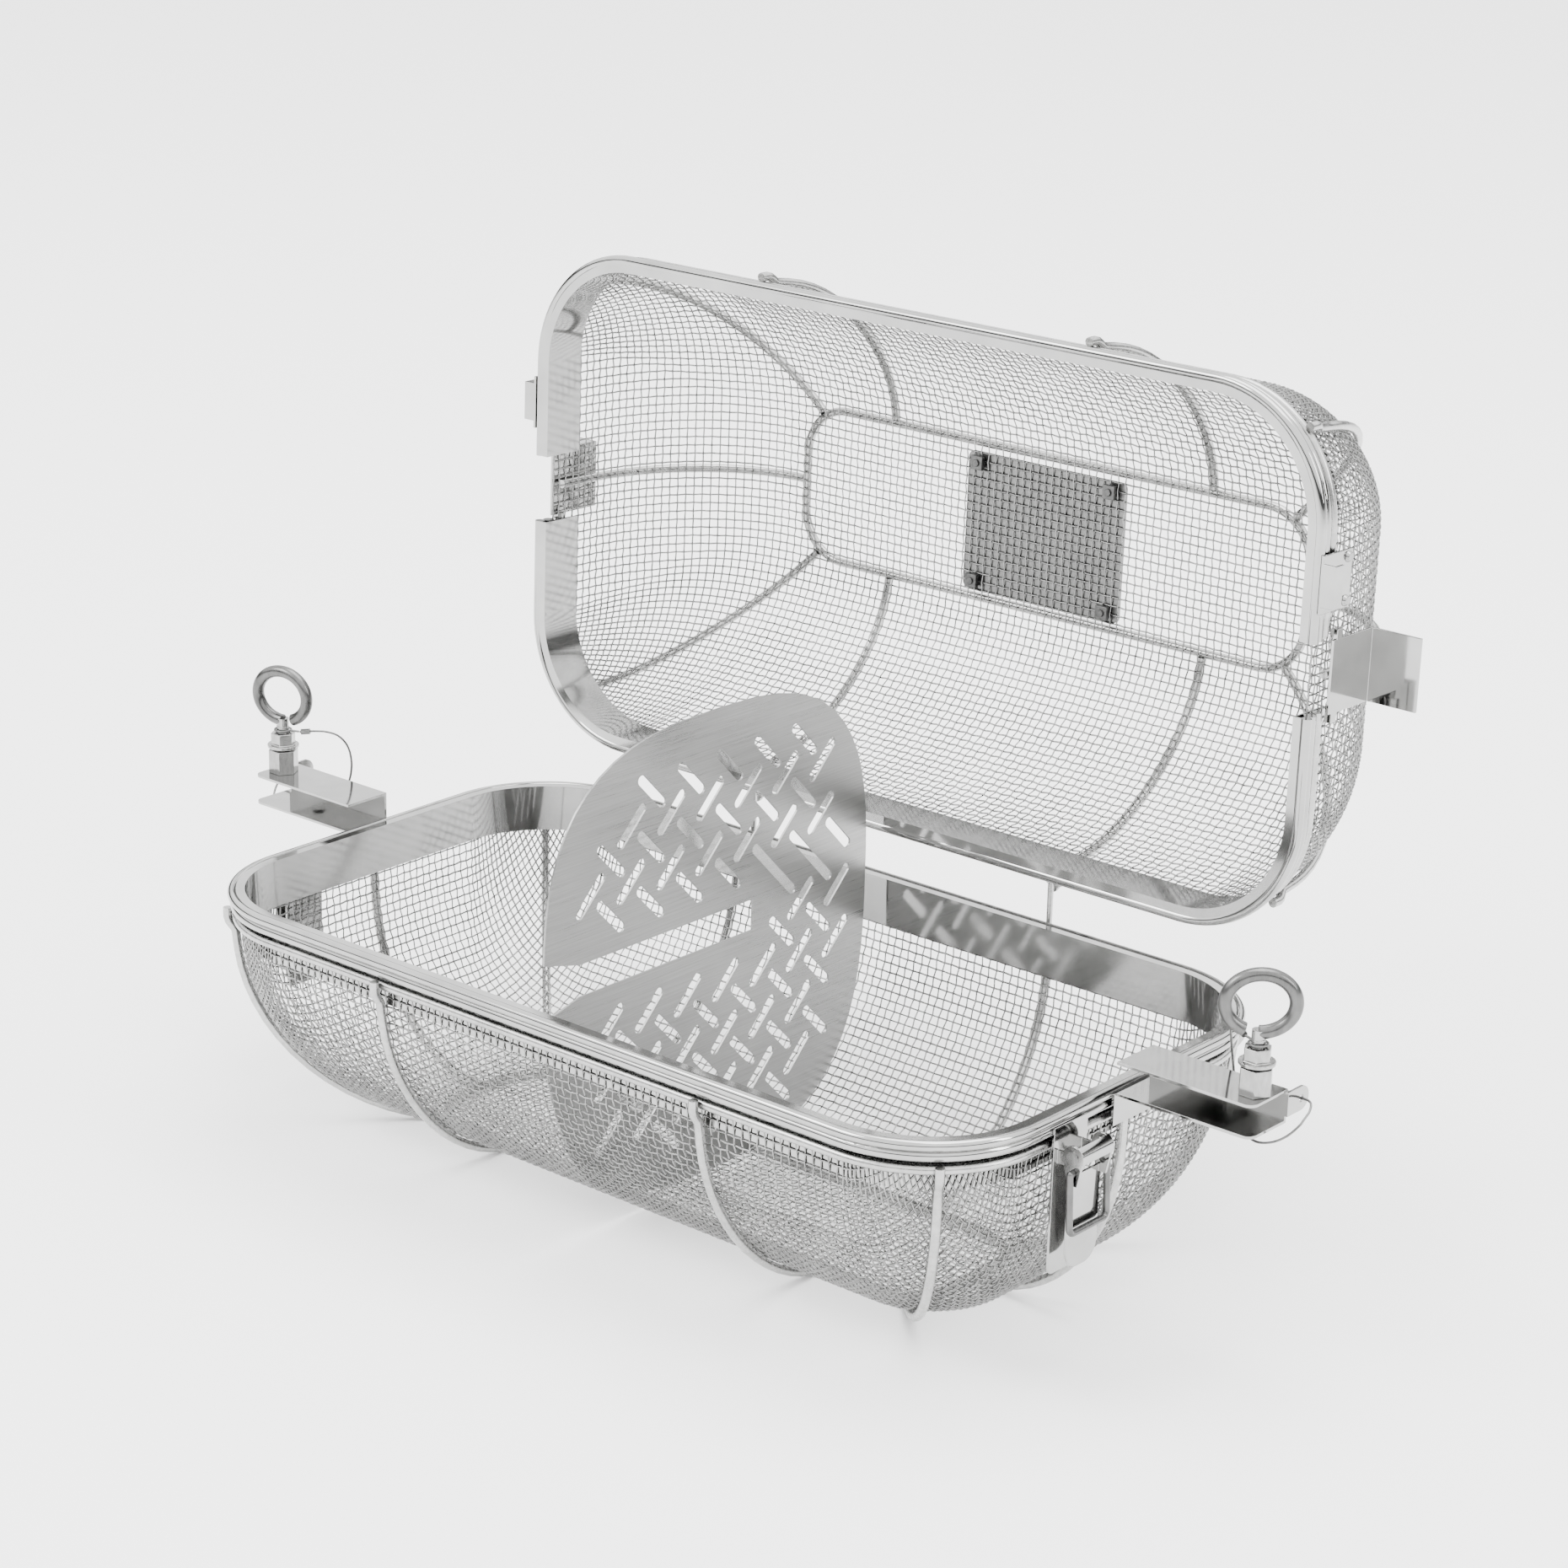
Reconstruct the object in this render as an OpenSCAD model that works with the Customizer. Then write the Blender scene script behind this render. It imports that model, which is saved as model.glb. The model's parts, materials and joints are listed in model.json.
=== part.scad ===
// Rotisserie basket: two woven-mesh half shells joined by a wire hinge, clamped to a
// square spit, with a loose divider, an over-centre latch and an eye screw at each end.
// The spit axis is X and the origin is on it, midway along the basket.  Z is up.
// The lid is drawn standing open.  A half shell is drawn in its own frame: its rim plane
// is z = 0, its cup hangs down, and u and v are the inset from the rim's outline and the
// depth below the rim plane.

/* [Basket] */
// Length of the rim along the spit
basket_len = 427; // [340:1:520]
// Width of the rim across the spit
basket_w = 231; // [190:1:280]
// Corner radius of the rim's outline
corner_r = 56; // [46:1:66]
// Depth of one half shell, from the rim plane to its flat
shell_depth = 107; // [85:1:130]
// Height of the spit axis above the lower rim plane
spit_rise = 4; // [3.5:0.5:6]
// Gap between the two rims when the lid is closed
closed_gap = 0.5; // [0.3:0.1:1]

/* [Shell] */
// Thickness of the mesh shell
mesh_t = 0.8; // [0.6:0.1:1.5]
// Inset of the shell's outer face from the rim's outline
mesh_inset = 6; // [6:0.1:8]
// Length of the flat at the bottom of a shell
flat_len = 280; // [220:1:310]
// Width of the flat at the bottom of a shell
flat_w = 72; // [60:1:100]
// Corner radius of the flat
flat_r = 22.7; // [15:0.1:28]
// Fullness of the long walls, 2 being an ellipse
side_power = 1.7; // [1.6:0.1:2.6]
// Fullness of the end walls
end_power = 2.1; // [1.6:0.1:2.8]

/* [Rim] */
// Diameter of the rim's rolled top bead
bead_d = 4.4; // [3.4:0.1:5]
// Diameter of the rim's second bead
bead2_d = 5; // [4:0.1:5.4]
// Depth of the band inside the shell
band_h = 22; // [18:1:30]
// Thickness of the rim's sheet
band_t = 0.8; // [0.6:0.1:1.2]
// Width of the gap left in the lid's rim at each end for the spit
notch_w = 31; // [30:1:50]

/* [Wires] */
// Diameter of the rim wires, base rings and ribs
wire_d = 4; // [3:0.1:4.4]
// Depth of the rim wire's centre
rim_wire_v = 12.6; // [12:0.1:14]
// Distance of the side ribs from the middle of the basket
rib_x = 88.5; // [60:0.5:110]
// Run of a rib over which it comes off the rim wire onto the shell
rib_lead = 8; // [6:0.5:12]

/* [Hinge] */
// Distance of each hinge eye from the middle of the basket
hinge_x = 84; // [50:0.5:100]
// Distance of the hinge axis outside the rim's outline
hinge_out = 5.05; // [4.8:0.05:7]
// Height of the hinge axis above the lower rim plane
hinge_rise = 15.85; // [15.5:0.05:20]
// Diameter of the hinge bar
hinge_bar_d = 3; // [2:0.1:3.2]
// Diameter of the wire of the hinge posts
post_d = 2.6; // [2:0.1:2.8]
// Angle to which the lid opens
open_angle = 91; // [60:1:100]
// Turn of the eye round the bar
eye_turn = 280; // [240:5:285]

/* [Spit clamps] */
// Size of the square spit
spit_size = 8; // [6:0.1:10]
// Thickness of the clamp's sheet
clamp_t = 1.2; // [0.8:0.1:1.6]
// Clearance between the spit and the clamp above and below it
spit_slack = 1.8; // [1:0.1:3]
// Width of the clamp channel
clamp_w = 24; // [20:1:28]
// Length of the clamp channel beyond the rim
clamp_len = 62.5; // [50:0.5:80]
// Height of the flange that carries the clamp
flange_h = 12; // [9:0.5:12.5]
// Width of that flange
flange_w = 28; // [24:1:34]
// Distance of the eye screw from the channel's outer end
screw_back = 7; // [6:0.5:14]
// Reach of the lanyard tab behind the channel
tab_reach = 13; // [10:0.5:18]
// Height of the lanyard tab
tab_h = 10; // [8:0.5:11]

/* [Eye screws] */
// Diameter of the screw's thread
screw_d = 6; // [5:0.1:8]
// Height of the nut on the clamp
weld_nut_h = 11; // [6:0.5:14]
// Width across flats of that nut
weld_nut_af = 12; // [11:0.5:15]
// Gap between the two nuts at rest
nut_gap = 1; // [0.95:0.05:3]
// Height of the lock nut
lock_nut_h = 7; // [5:0.5:9]
// Width across flats of the lock nut
lock_nut_af = 10; // [9:0.5:13]
// Diameter of the lock nut's flange
lock_flange_d = 14.5; // [12:0.5:18]
// Wire diameter of the eye
eye_wire_d = 5.5; // [3.5:0.1:6]
// Width of the eye outside
eye_w = 33; // [28:1:40]
// Height of the eye outside
eye_h = 29; // [24:1:34]
// Turn of the right eye about its screw
eye_turn_right = 40; // [-90:1:90]
// Turn of the left eye about its screw
eye_turn_left = -12; // [-90:1:90]
// Clear height between the lock nut and the eye
neck_h = 3; // [2.6:0.1:5]

/* [Latches] */
// Place of the latches across the basket
latch_y = -40; // [-50:1:-34]
// Width of the latch base plate
latch_w = 21; // [20:1:30]
// Thickness of the latch sheet
latch_t = 1.2; // [0.8:0.1:1.5]
// Width of the latch lever
lever_w = 19.6; // [17:0.2:22]
// Depth of the lever pivot below the rim plane
pivot_v = 14.5; // [12:0.5:16]
// Distance of the lever pivot outside the rim's outline
pivot_out = 8.5; // [7:0.5:12]
// Diameter of the pivot pin
pivot_d = 3; // [2:0.1:3.5]
// Depth of the bottom of the base plate
base_v = 66; // [50:1:70]
// Depth of the bottom of the lever's thumb tab
lever_v = 62; // [50:1:72]
// Diameter of the bail wire
bail_d = 2.8; // [2:0.1:3.2]
// Length of the bail below its pivot
bail_len = 24.6; // [22:0.2:26]
// Turn of the bail at rest, out from the lever's face
bail_tilt = 2.5; // [2:0.5:6]
// Width of the lid's catch
catch_w = 24; // [20:1:26]
// Reach of the catch's hook outside the rim
catch_reach = 7; // [5:0.5:8]

/* [Lid fittings] */
// Depth at which the lid bracket starts
bracket_v0 = 12.4; // [12:0.1:14]
// Depth of the lid bracket's shelf
bracket_v1 = 42; // [34:1:52]
// Length of that shelf
shelf_len = 24; // [16:1:28]
// Thickness of the bracket's sheet
bracket_t = 1.2; // [0.8:0.1:1.5]
// Length of the blank plate on the lid
plate_len = 87.5; // [60:0.5:110]
// Width of that plate
plate_w = 64; // [50:1:66]
// Thickness of that plate
plate_t = 1.5; // [1:0.1:2]

/* [Divider] */
// Thickness of the divider
divider_t = 1; // [0.8:0.1:2]
// Place of the divider along the spit
divider_x = -4; // [-60:1:60]
// Height of the divider above the spit axis
divider_up = 97.5; // [80:0.5:98]
// Half width of the divider behind the spit
divider_half = 99.8; // [80:0.1:99.8]
// Half width of the divider in front of the spit
divider_front = 103; // [84:0.5:103]
// Gap under the divider
divider_gap = 0.25; // [0.2:0.05:1]
// Height of the divider's spit slot
divider_slot = 14; // [11:0.5:18]
// How far behind the spit axis that slot reaches
slot_reach = 24.4; // [12:0.1:30]
// Length of each small slot
vent_len = 22; // [14:1:24]
// Width of each small slot
vent_w = 4.5; // [3:0.1:6]
// Spacing of the small slots
vent_pitch = 24; // [24:1:32]

/* [Clearances] */
// Clearance round a pin, bar or thread, on the radius
pin_clear = 0.05; // [0.03:0.01:0.1]
// Clearance between sheets that pass each other
sheet_clear = 0.35; // [0.3:0.05:0.8]
// Gap between the lanyard and the piece that moves away from it
cord_clear = 0.4; // [0.3:0.1:1]

/* [Lanyards] */
// Diameter of the lanyard wire
lanyard_d = 1; // [0.8:0.1:1.4]

/* [Hidden] */
half_len = basket_len/2;
half_w = basket_w/2;
rim_z = -spit_rise;
wire_u = mesh_inset - wire_d/2;                 // the rim wire lies against the shell
band_u = mesh_inset + mesh_t;                   // the band lies inside the shell
mesh_v0 = 9.6;                                  // top edge of the shell under the second bead
bead2_u = bead2_d/2 + 1;
bead2_v = bead_d/2 + 4.4;
ring_v = shell_depth + wire_d/2;
side_fall = half_w - flat_w/2 - mesh_inset;
end_fall = half_len - flat_len/2 - mesh_inset;
shell_r0 = corner_r - mesh_inset;
hinge_y = half_w + hinge_out;
hinge_z = rim_z + hinge_rise;
lid_axis_v = hinge_rise - closed_gap;           // the hinge axis in the lid's own frame
eye_r = hinge_bar_d/2 + pin_clear + post_d/2;
clamp_x0 = half_len;
clamp_x1 = half_len + clamp_len;
clamp_z0 = -spit_size/2 - spit_slack - clamp_t; // underside of the channel
clamp_z1 = spit_size/2 + spit_slack + clamp_t;  // top of the channel
screw_x = clamp_x1 - screw_back;
lock_z = clamp_z1 + weld_nut_h + nut_gap;
eye_z0 = lock_z + lock_nut_h + neck_h;
pivot_x = half_len + pivot_out;
lever_half = lever_w/2;
ear_half = lever_half - latch_t - sheet_clear;  // the base plate's ears stand inside the lever
bail_v = pivot_v + 6;
catch_x = half_len;
STEPS = 15;                                     // rings down a shell below the band
RIB_ANGLES = [7:6:85];                          // steps down a rib below the band
CORNER = 8;                                     // steps round a shell's corner
$fn = 48;

// The right lanyard's route, from the neck of its screw round the clamp to the tab.  It is
// measured from the screw's axis in X, and the left lanyard mirrors it.
LANYARD = [[-8, 3, 27.2], [-12, 5.5, 27.8], [-17, 9.5, 28], [-21.5, 14, 26], [-24, 17.5, 21],
    [-24.5, 19.5, 14], [-23.5, 20, 6], [-21, 18.5, -2], [-17, 15, -8.5], [-11.5, 10, -12.5],
    [-5, 5, -14], [2, 2, -13.5], [8, 2, -11.5], [12.5, 5, -8.5], [15, 10, -4.5], [15, 15, -1.5],
    [13.5, 18.5, 0.5], [11, 20, 1], [7.8, 20, 1], [5, 20, 1], [2, 20, 1]];

// ---------- shape of a half shell ----------
// The walls are straight as far as the band reaches, then curve in to the flat
curve_h = shell_depth - band_h;
function fall(t, n) = 1 - pow(1 - pow(min(1, max(0, t)), n), 1/n);
function side_inset(v) = mesh_inset + side_fall*fall((v - band_h)/curve_h, side_power);
function end_inset(v) = mesh_inset + end_fall*fall((v - band_h)/curve_h, end_power);
function shell_r(v) =
    shell_r0 - (shell_r0 - flat_r)*(side_inset(v) - mesh_inset)/side_fall;
// Depth at the angle w round a wall's curve, closer together where it turns into the flat
function curve_depth(w, n = side_power) = band_h + curve_h*pow(sin(w), 2/n);
function ring_depth(i) = i == 0 ? mesh_v0 : curve_depth(90*(i - 1)/(STEPS - 1));
// Depth of the inner face where the outer face is at depth v
function inner_depth(v) = v < band_h ? v : band_h + (v - band_h)*(curve_h - mesh_t)/curve_h;

// A rounded rectangle of half sizes a and b and corner radius r, at height z
function ring_points(a, b, r, z) = [for (q = [0:3]) for (k = [0:CORNER])
    let (w = 90*(q + k/CORNER), cx = (q == 0 || q == 3 ? 1 : -1)*(a - r),
         cy = (q < 2 ? 1 : -1)*(b - r))
    [cx + r*cos(w), cy + r*sin(w), z]];

// The section of the shell at depth v, drawn in by the distance t
function shell_ring(v, t, z) =
    ring_points(half_len - end_inset(v) - t, half_w - side_inset(v) - t, shell_r(v) - t, z);

module half_shell() {
    n = 4*(CORNER + 1);
    outer = [for (i = [0:STEPS]) shell_ring(ring_depth(i), 0, -ring_depth(i))];
    inner = [for (i = [STEPS:-1:0])
        shell_ring(ring_depth(i), mesh_t, -inner_depth(ring_depth(i)))];
    rings = concat(outer, inner);
    m = len(rings);
    skin = [for (j = [0:m - 1]) if (j != STEPS) for (k = [0:n - 1])
        let (j2 = (j + 1)%m, k2 = (k + 1)%n)
        for (f = [[j*n + k, j*n + k2, j2*n + k2], [j*n + k, j2*n + k2, j2*n + k]]) f];
    floor_out = [[for (k = [0:n - 1]) STEPS*n + k]];
    floor_in = [[for (k = [n - 1:-1:0]) (STEPS + 1)*n + k]];
    polyhedron([for (r = rings) each r],
        [for (f = concat(skin, floor_out, floor_in)) [for (i = [len(f) - 1:-1:0]) f[i]]]);
}

// ---------- wires ----------
function unit(a) = a/norm(a);
function tangent(p, i) = unit(p[min(len(p) - 1, i + 1)] - p[max(0, i - 1)]);
function side_of(t, s) = unit(s - (s*t)*t);
// A direction square to the wire at each point, carried along without twist
function carried(p, i) = i == 0 ?
    side_of(tangent(p, 0), abs(tangent(p, 0).x) < 0.9 ? [1, 0, 0] : [0, 1, 0]) :
    side_of(tangent(p, i), carried(p, i - 1));

// A wire of diameter d along the points p
module wire(p, d, sides = 10) {
    rings = [for (i = [0:len(p) - 1]) let (a = carried(p, i), b = cross(tangent(p, i), a))
        [for (k = [0:sides - 1]) p[i] + d/2*(cos(360*k/sides)*a + sin(360*k/sides)*b)]];
    skin = [for (i = [0:len(p) - 2]) for (k = [0:sides - 1]) let (k2 = (k + 1)%sides)
        for (f = [[i*sides + k, (i + 1)*sides + k2, i*sides + k2],
                  [i*sides + k, (i + 1)*sides + k, (i + 1)*sides + k2]]) f];
    polyhedron([for (r = rings) each r],
        concat(skin, [[for (k = [0:sides - 1]) k]],
            [[for (k = [sides - 1:-1:0]) (len(p) - 1)*sides + k]]));
}

// Sweeps a profile, drawn as u to the right and v downwards, round the rim's outline
module round_rim(len_x, len_y, r) {
    for (s = [-1, 1]) {
        scale_y(s) translate([-(len_x/2 - r), 0, 0]) rotate([90, 0, 90])
            linear_extrude(len_x - 2*r) translate([-len_y/2, 0]) children();
        scale_x(s) translate([0, len_y/2 - r, 0]) rotate([90, 0, 0])
            linear_extrude(len_y - 2*r) translate([-len_x/2, 0]) children();
        for (q = [-1, 1]) scale_x(s) scale_y(q)
            translate([len_x/2 - r, len_y/2 - r, 0]) rotate_extrude(angle = 90)
                translate([r, 0]) mirror([1, 0]) children();
    }
}
module scale_x(s) { if (s < 0) mirror([1, 0, 0]) children(); else children(); }
module scale_y(s) { if (s < 0) mirror([0, 1, 0]) children(); else children(); }
module both_ends() { children(); mirror([1, 0, 0]) children(); }

// ---------- one half: rim, wires, ribs ----------
module rim_profile() {
    translate([bead_d/2, -bead_d/2]) circle(d = bead_d);
    translate([bead2_u, -bead2_v]) circle(d = bead2_d);
    translate([bead_d/2, -1.6]) square([band_u + band_t - bead_d/2, 1]);
    translate([bead2_u, -bead2_v - 0.6]) square([band_u - bead2_u + 0.2, 1.2]);
    translate([bead_d/2 + 0.2, -bead2_v]) square([1.6, bead2_v - bead_d/2]);
    translate([band_u, -band_h]) square([band_t, band_h - 0.6]);
}
module half_rim() { round_rim(basket_len, basket_w, corner_r) rim_profile(); }

module half_rim_wire() {
    round_rim(basket_len, basket_w, corner_r) translate([wire_u, -rim_wire_v]) circle(d = wire_d);
}

module half_base_ring() {
    round_rim(flat_len + wire_d, flat_w + wire_d, flat_r + wire_d/2)
        translate([wire_d/2, -ring_v]) circle(d = wire_d);
}

// The upper end of a rib laps the outside of the rim wire, then leads onto the shell
lap_u = wire_u - wire_d - 0.05;
function lap_path() = [for (v = [rim_wire_v - 2.4, rim_wire_v, rim_wire_v + 1.8]) [lap_u, v]];
function eased(t) = t*t*(3 - 2*t);
function lead_u(v, u1) = lap_u + (u1 - lap_u)*eased((v - rim_wire_v - 1.8)/rib_lead);

// Centre line of a side rib, as inset u and depth v, outside the long wall
lead_v = rim_wire_v + 1.8 + rib_lead;
function offset_from(inset, v, dv, di) =
    let (k = (wire_d/2 + 0.12)/norm([dv, di])) [inset - dv*k, v + di*k];
function side_rib_uv() = concat(lap_path(),
    [for (s = [0.25, 0.5, 0.75]) let (v = rim_wire_v + 1.8 + s*rib_lead) [lead_u(v, wire_u - 0.12), v]],
    [for (w = RIB_ANGLES) let (v = curve_depth(w), d = 0.05,
         p = offset_from(side_inset(v), v, 2*d, side_inset(v + d) - side_inset(v - d)))
        if (half_w - p[0] > flat_w/2 + wire_d/2 + 1 && v > lead_v) p],
    [[half_w - flat_w/2 - wire_d/2, ring_v]]);

// An end rib butts against the underside of the rim wire
function end_rib_uv() = concat(
    [[wire_u - 0.12, rim_wire_v + wire_d/2], [wire_u - 0.12, band_h]],
    [for (w = RIB_ANGLES) let (v = curve_depth(w, end_power), d = 0.05,
         p = offset_from(end_inset(v), v, 2*d, end_inset(v + d) - end_inset(v - d)))
        if (half_len - p[0] > flat_len/2 + wire_d/2 + 1 && v > band_h) p],
    [[half_len - flat_len/2 - wire_d/2, ring_v]]);

// Where the plane through a corner at 45 degrees meets the shell at depth v, as the
// distance out from the corner's centre
function corner_reach(v) = let (a = half_len - end_inset(v), b = half_w - side_inset(v),
    r = shell_r(v), cx = a - r - half_len + corner_r, cy = b - r - half_w + corner_r,
    w = acos(-(cx - cy)/(sqrt(2)*r)) - 45)
    (cx + r*cos(w) + cy + r*sin(w))/sqrt(2);
ring_corner = corner_reach(shell_depth);
function corner_rib_rv() = concat(
    [for (p = lap_path()) [corner_r - p[0], p[1]]],
    [for (s = [0.25, 0.5, 0.75]) let (v = rim_wire_v + 1.8 + s*rib_lead)
        [corner_r - lead_u(v, wire_u - 0.12), v]],
    [for (w = RIB_ANGLES) let (v = curve_depth(w), d = 0.05,
         dr = corner_reach(v + d) - corner_reach(v - d), k = (wire_d/2 + 0.25)/norm([2*d, dr]))
        if (corner_reach(v) > ring_corner + wire_d/2 + 1 && v > lead_v)
            [corner_reach(v) + 2*d*k, v - dr*k]],
    [[ring_corner + wire_d/2 + 0.1, ring_v]]);

module half_side_ribs() {
    for (s = [-1, 1], q = [-1, 1])
        wire([for (p = side_rib_uv()) [s*rib_x, q*(half_w - p[0]), -p[1]]], wire_d);
}
module half_end_ribs() {
    for (s = [-1, 1]) wire([for (p = end_rib_uv()) [s*(half_len - p[0]), 0, -p[1]]], wire_d);
}
module half_corner_ribs() {
    for (s = [-1, 1], q = [-1, 1])
        wire([for (p = corner_rib_rv()) [s*(half_len - corner_r + p[0]/sqrt(2)),
            q*(half_w - corner_r + p[0]/sqrt(2)), -p[1]]], wire_d);
}

// ---------- places ----------
module in_lower() { translate([0, 0, rim_z]) children(); }
module in_lid() {
    translate([0, hinge_y, hinge_z]) rotate([-open_angle, 0, 0])
        translate([0, -hinge_y, -lid_axis_v]) mirror([0, 0, 1]) children();
}
module at_screw() { translate([screw_x, 0, 0]) children(); }

// ---------- hinge ----------
module elbow(r, d) { rotate_extrude(angle = 90) translate([r, 0]) circle(d = d); }

module hinge_post() {
    bend = post_d;
    post_y = hinge_y - eye_r;
    foot_z = rim_z - rim_wire_v;
    foot_y = half_w - wire_u + wire_d/2;
    translate([hinge_x, post_y, foot_z + bend])
        cylinder(d = post_d, h = hinge_z - foot_z - bend);
    translate([hinge_x, post_y - bend, foot_z + bend]) rotate([0, 90, 0]) elbow(bend, post_d);
    translate([hinge_x, foot_y, foot_z]) rotate([-90, 0, 0])
        cylinder(d = post_d, h = post_y - bend - foot_y);
    translate([hinge_x, hinge_y, hinge_z]) rotate([0, 90, 0]) rotate([0, 0, -90])
        rotate_extrude(angle = -eye_turn) translate([eye_r, 0]) circle(d = post_d);
}
module hinge_posts() { color("silver") both_ends() hinge_post(); }

// The lid's hinge wire: the bar in the eye, one leg on the side rib, one on the rim wire
module hinge_bar() {
    bend = hinge_bar_d - 0.5;
    x0 = 2*hinge_x - rib_x;
    leg_in = hinge_out + lap_u - wire_d/2 + 0.05;
    leg_out = hinge_out + wire_u - wire_d/2 + 0.4;
    translate([x0 + bend, half_w + hinge_out, -lid_axis_v]) rotate([0, 90, 0])
        cylinder(d = hinge_bar_d, h = rib_x - x0 - 2*bend);
    translate([rib_x - bend, half_w + hinge_out - bend, -lid_axis_v]) elbow(bend, hinge_bar_d);
    translate([x0 + bend, half_w + hinge_out - bend, -lid_axis_v]) rotate([0, 0, 90])
        elbow(bend, hinge_bar_d);
    translate([rib_x, half_w + hinge_out - bend, -lid_axis_v]) rotate([90, 0, 0])
        cylinder(d = hinge_bar_d, h = leg_in - bend);
    translate([x0, half_w + hinge_out - bend, -lid_axis_v]) rotate([90, 0, 0])
        cylinder(d = hinge_bar_d, h = leg_out - bend);
}
module hinge_bars() { color("silver") in_lid() both_ends() hinge_bar(); }

// ---------- spit clamps ----------
// A plate with its two outer corners rounded, reaching from the rim along X
module clamp_plate(z) {
    r = 4;
    translate([clamp_x0, -clamp_w/2, z]) linear_extrude(clamp_t) union() {
        square([clamp_len - r, clamp_w]);
        translate([0, r]) square([clamp_len, clamp_w - r]);
        translate([clamp_len - r, r]) circle(r = r);
    }
}
module spit_clamp() {
    difference() {
        union() {
            clamp_plate(clamp_z0);
            clamp_plate(clamp_z1 - clamp_t);
            translate([clamp_x0, clamp_w/2 - clamp_t, clamp_z0])
                cube([clamp_len, clamp_t, clamp_z1 - clamp_z0]);
            translate([clamp_x0, -flange_w/2, clamp_z0 - flange_h])
                cube([clamp_t, flange_w, flange_h + clamp_t]);
            lanyard_tab();
        }
        translate([screw_x, 0, clamp_z1 - 2*clamp_t]) cylinder(d = screw_d + 0.4, h = 3*clamp_t);
    }
}
module lanyard_tab() {
    y0 = clamp_w/2 - clamp_t;
    translate([clamp_x1, y0, -tab_h/2 + 1]) rotate([90, 0, 90]) linear_extrude(clamp_t)
        difference() {
            union() {
                square([tab_reach - tab_h/2 + clamp_t, tab_h]);
                translate([tab_reach - tab_h/2 + clamp_t, tab_h/2]) circle(d = tab_h);
            }
            translate([tab_reach - tab_h/2 + clamp_t, tab_h/2]) circle(d = 3);
        }
    translate([clamp_x1 - 1, y0, -tab_h/2 + 1]) cube([1 + clamp_t, clamp_t, tab_h]);
}
module spit_clamp_right() { color("gainsboro") spit_clamp(); }
module spit_clamp_left() { color("gainsboro") mirror([1, 0, 0]) spit_clamp(); }

module hexagon(af, h) { cylinder(d = af/cos(30), h = h, $fn = 6); }
module weld_nut() {
    at_screw() translate([0, 0, clamp_z1]) difference() {
        hexagon(weld_nut_af, weld_nut_h);
        translate([0, 0, -1]) cylinder(d = screw_d + 2*pin_clear, h = weld_nut_h + 2);
    }
}
module weld_nut_right() { color("silver") weld_nut(); }
module weld_nut_left() { color("silver") mirror([1, 0, 0]) weld_nut(); }

module lock_nut() {
    flange = 1.5;
    at_screw() translate([0, 0, lock_z]) difference() {
        union() {
            cylinder(d = lock_flange_d, h = flange);
            translate([0, 0, flange]) hexagon(lock_nut_af, lock_nut_h - flange);
        }
        translate([0, 0, -1]) cylinder(d = screw_d + 2*pin_clear, h = lock_nut_h + 2);
    }
}
module lock_nut_right() { color("silver") lock_nut(); }
module lock_nut_left() { color("silver") mirror([1, 0, 0]) lock_nut(); }

// An open eye: a stem, then an oval ring whose tip stops short of the stem
module eye_screw(turn) {
    a = (eye_w - eye_wire_d)/2;
    b = (eye_h - eye_wire_d)/2;
    zc = eye_z0 + eye_wire_d/2 + b;
    tip = 1;
    at_screw() rotate([0, 0, turn]) {
        translate([0, 0, clamp_z1 - clamp_t - tip])
            cylinder(d = screw_d, h = eye_z0 + eye_wire_d*0.7 - clamp_z1 + clamp_t + tip);
        wire([for (k = [0:31]) let (w = -90 + 335*k/31) [a*cos(w), 0, zc + b*sin(w)]], eye_wire_d, 12);
    }
}
module eye_screw_right() { color("gainsboro") eye_screw(eye_turn_right); }
module eye_screw_left() { color("gainsboro") mirror([1, 0, 0]) eye_screw(eye_turn_left); }

// ---------- lanyards ----------
loop_z = lock_z + lock_nut_h + neck_h/2 - 0.2;
module lanyard_loop() {
    r = screw_d/2 + lanyard_d/2 + 0.2;
    at_screw() translate([0, 0, loop_z]) {
        rotate_extrude() translate([r, 0]) circle(d = lanyard_d);
        rotate([0, 0, 160]) translate([r, 0, 0]) rotate([0, 90, 0])
            cylinder(d = lanyard_d, h = 8.5 - cord_clear - r);
    }
}
module lanyard_loop_right() { color("gray") lanyard_loop(); }
module lanyard_loop_left() { color("gray") mirror([1, 0, 0]) lanyard_loop(); }
module lanyard() { at_screw() wire(LANYARD, lanyard_d, 8); }
module lanyard_right() { color("gray") lanyard(); }
module lanyard_left() { color("gray") mirror([1, 0, 0]) lanyard(); }

// A crimped sleeve on the lanyard beside the screw, and one behind the tab
module lanyard_sleeve() {
    last = LANYARD[len(LANYARD) - 1];
    first = LANYARD[0];
    second = LANYARD[1];
    run = second - first;
    at_screw() {
        translate(last) rotate([0, -90, 0]) cylinder(d = 2.6, h = 4);
        translate(first + 0.15*run) rotate([0, acos(run.z/norm(run)), atan2(run.y, run.x)])
            difference() {
                cylinder(d = 2.6, h = 4.2);
                translate([0, 0, -1]) cylinder(d = lanyard_d + 0.2, h = 7);
            }
    }
}
module lanyard_sleeves() { color("gray") both_ends() lanyard_sleeve(); }

// ---------- latches ----------
// A flat sheet standing across X, with its lower end rounded
module tongue(w, v0, v1, x, t, r) {
    translate([x, latch_y, -v1]) rotate([90, 0, 90]) linear_extrude(t) {
        translate([-w/2, r]) square([w, v1 - v0 - r]);
        translate([-w/2 + r, 0]) square([w - 2*r, r + 0.01]);
        for (s = [-1, 1]) translate([s*(w/2 - r), r]) circle(r = r);
    }
}
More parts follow.
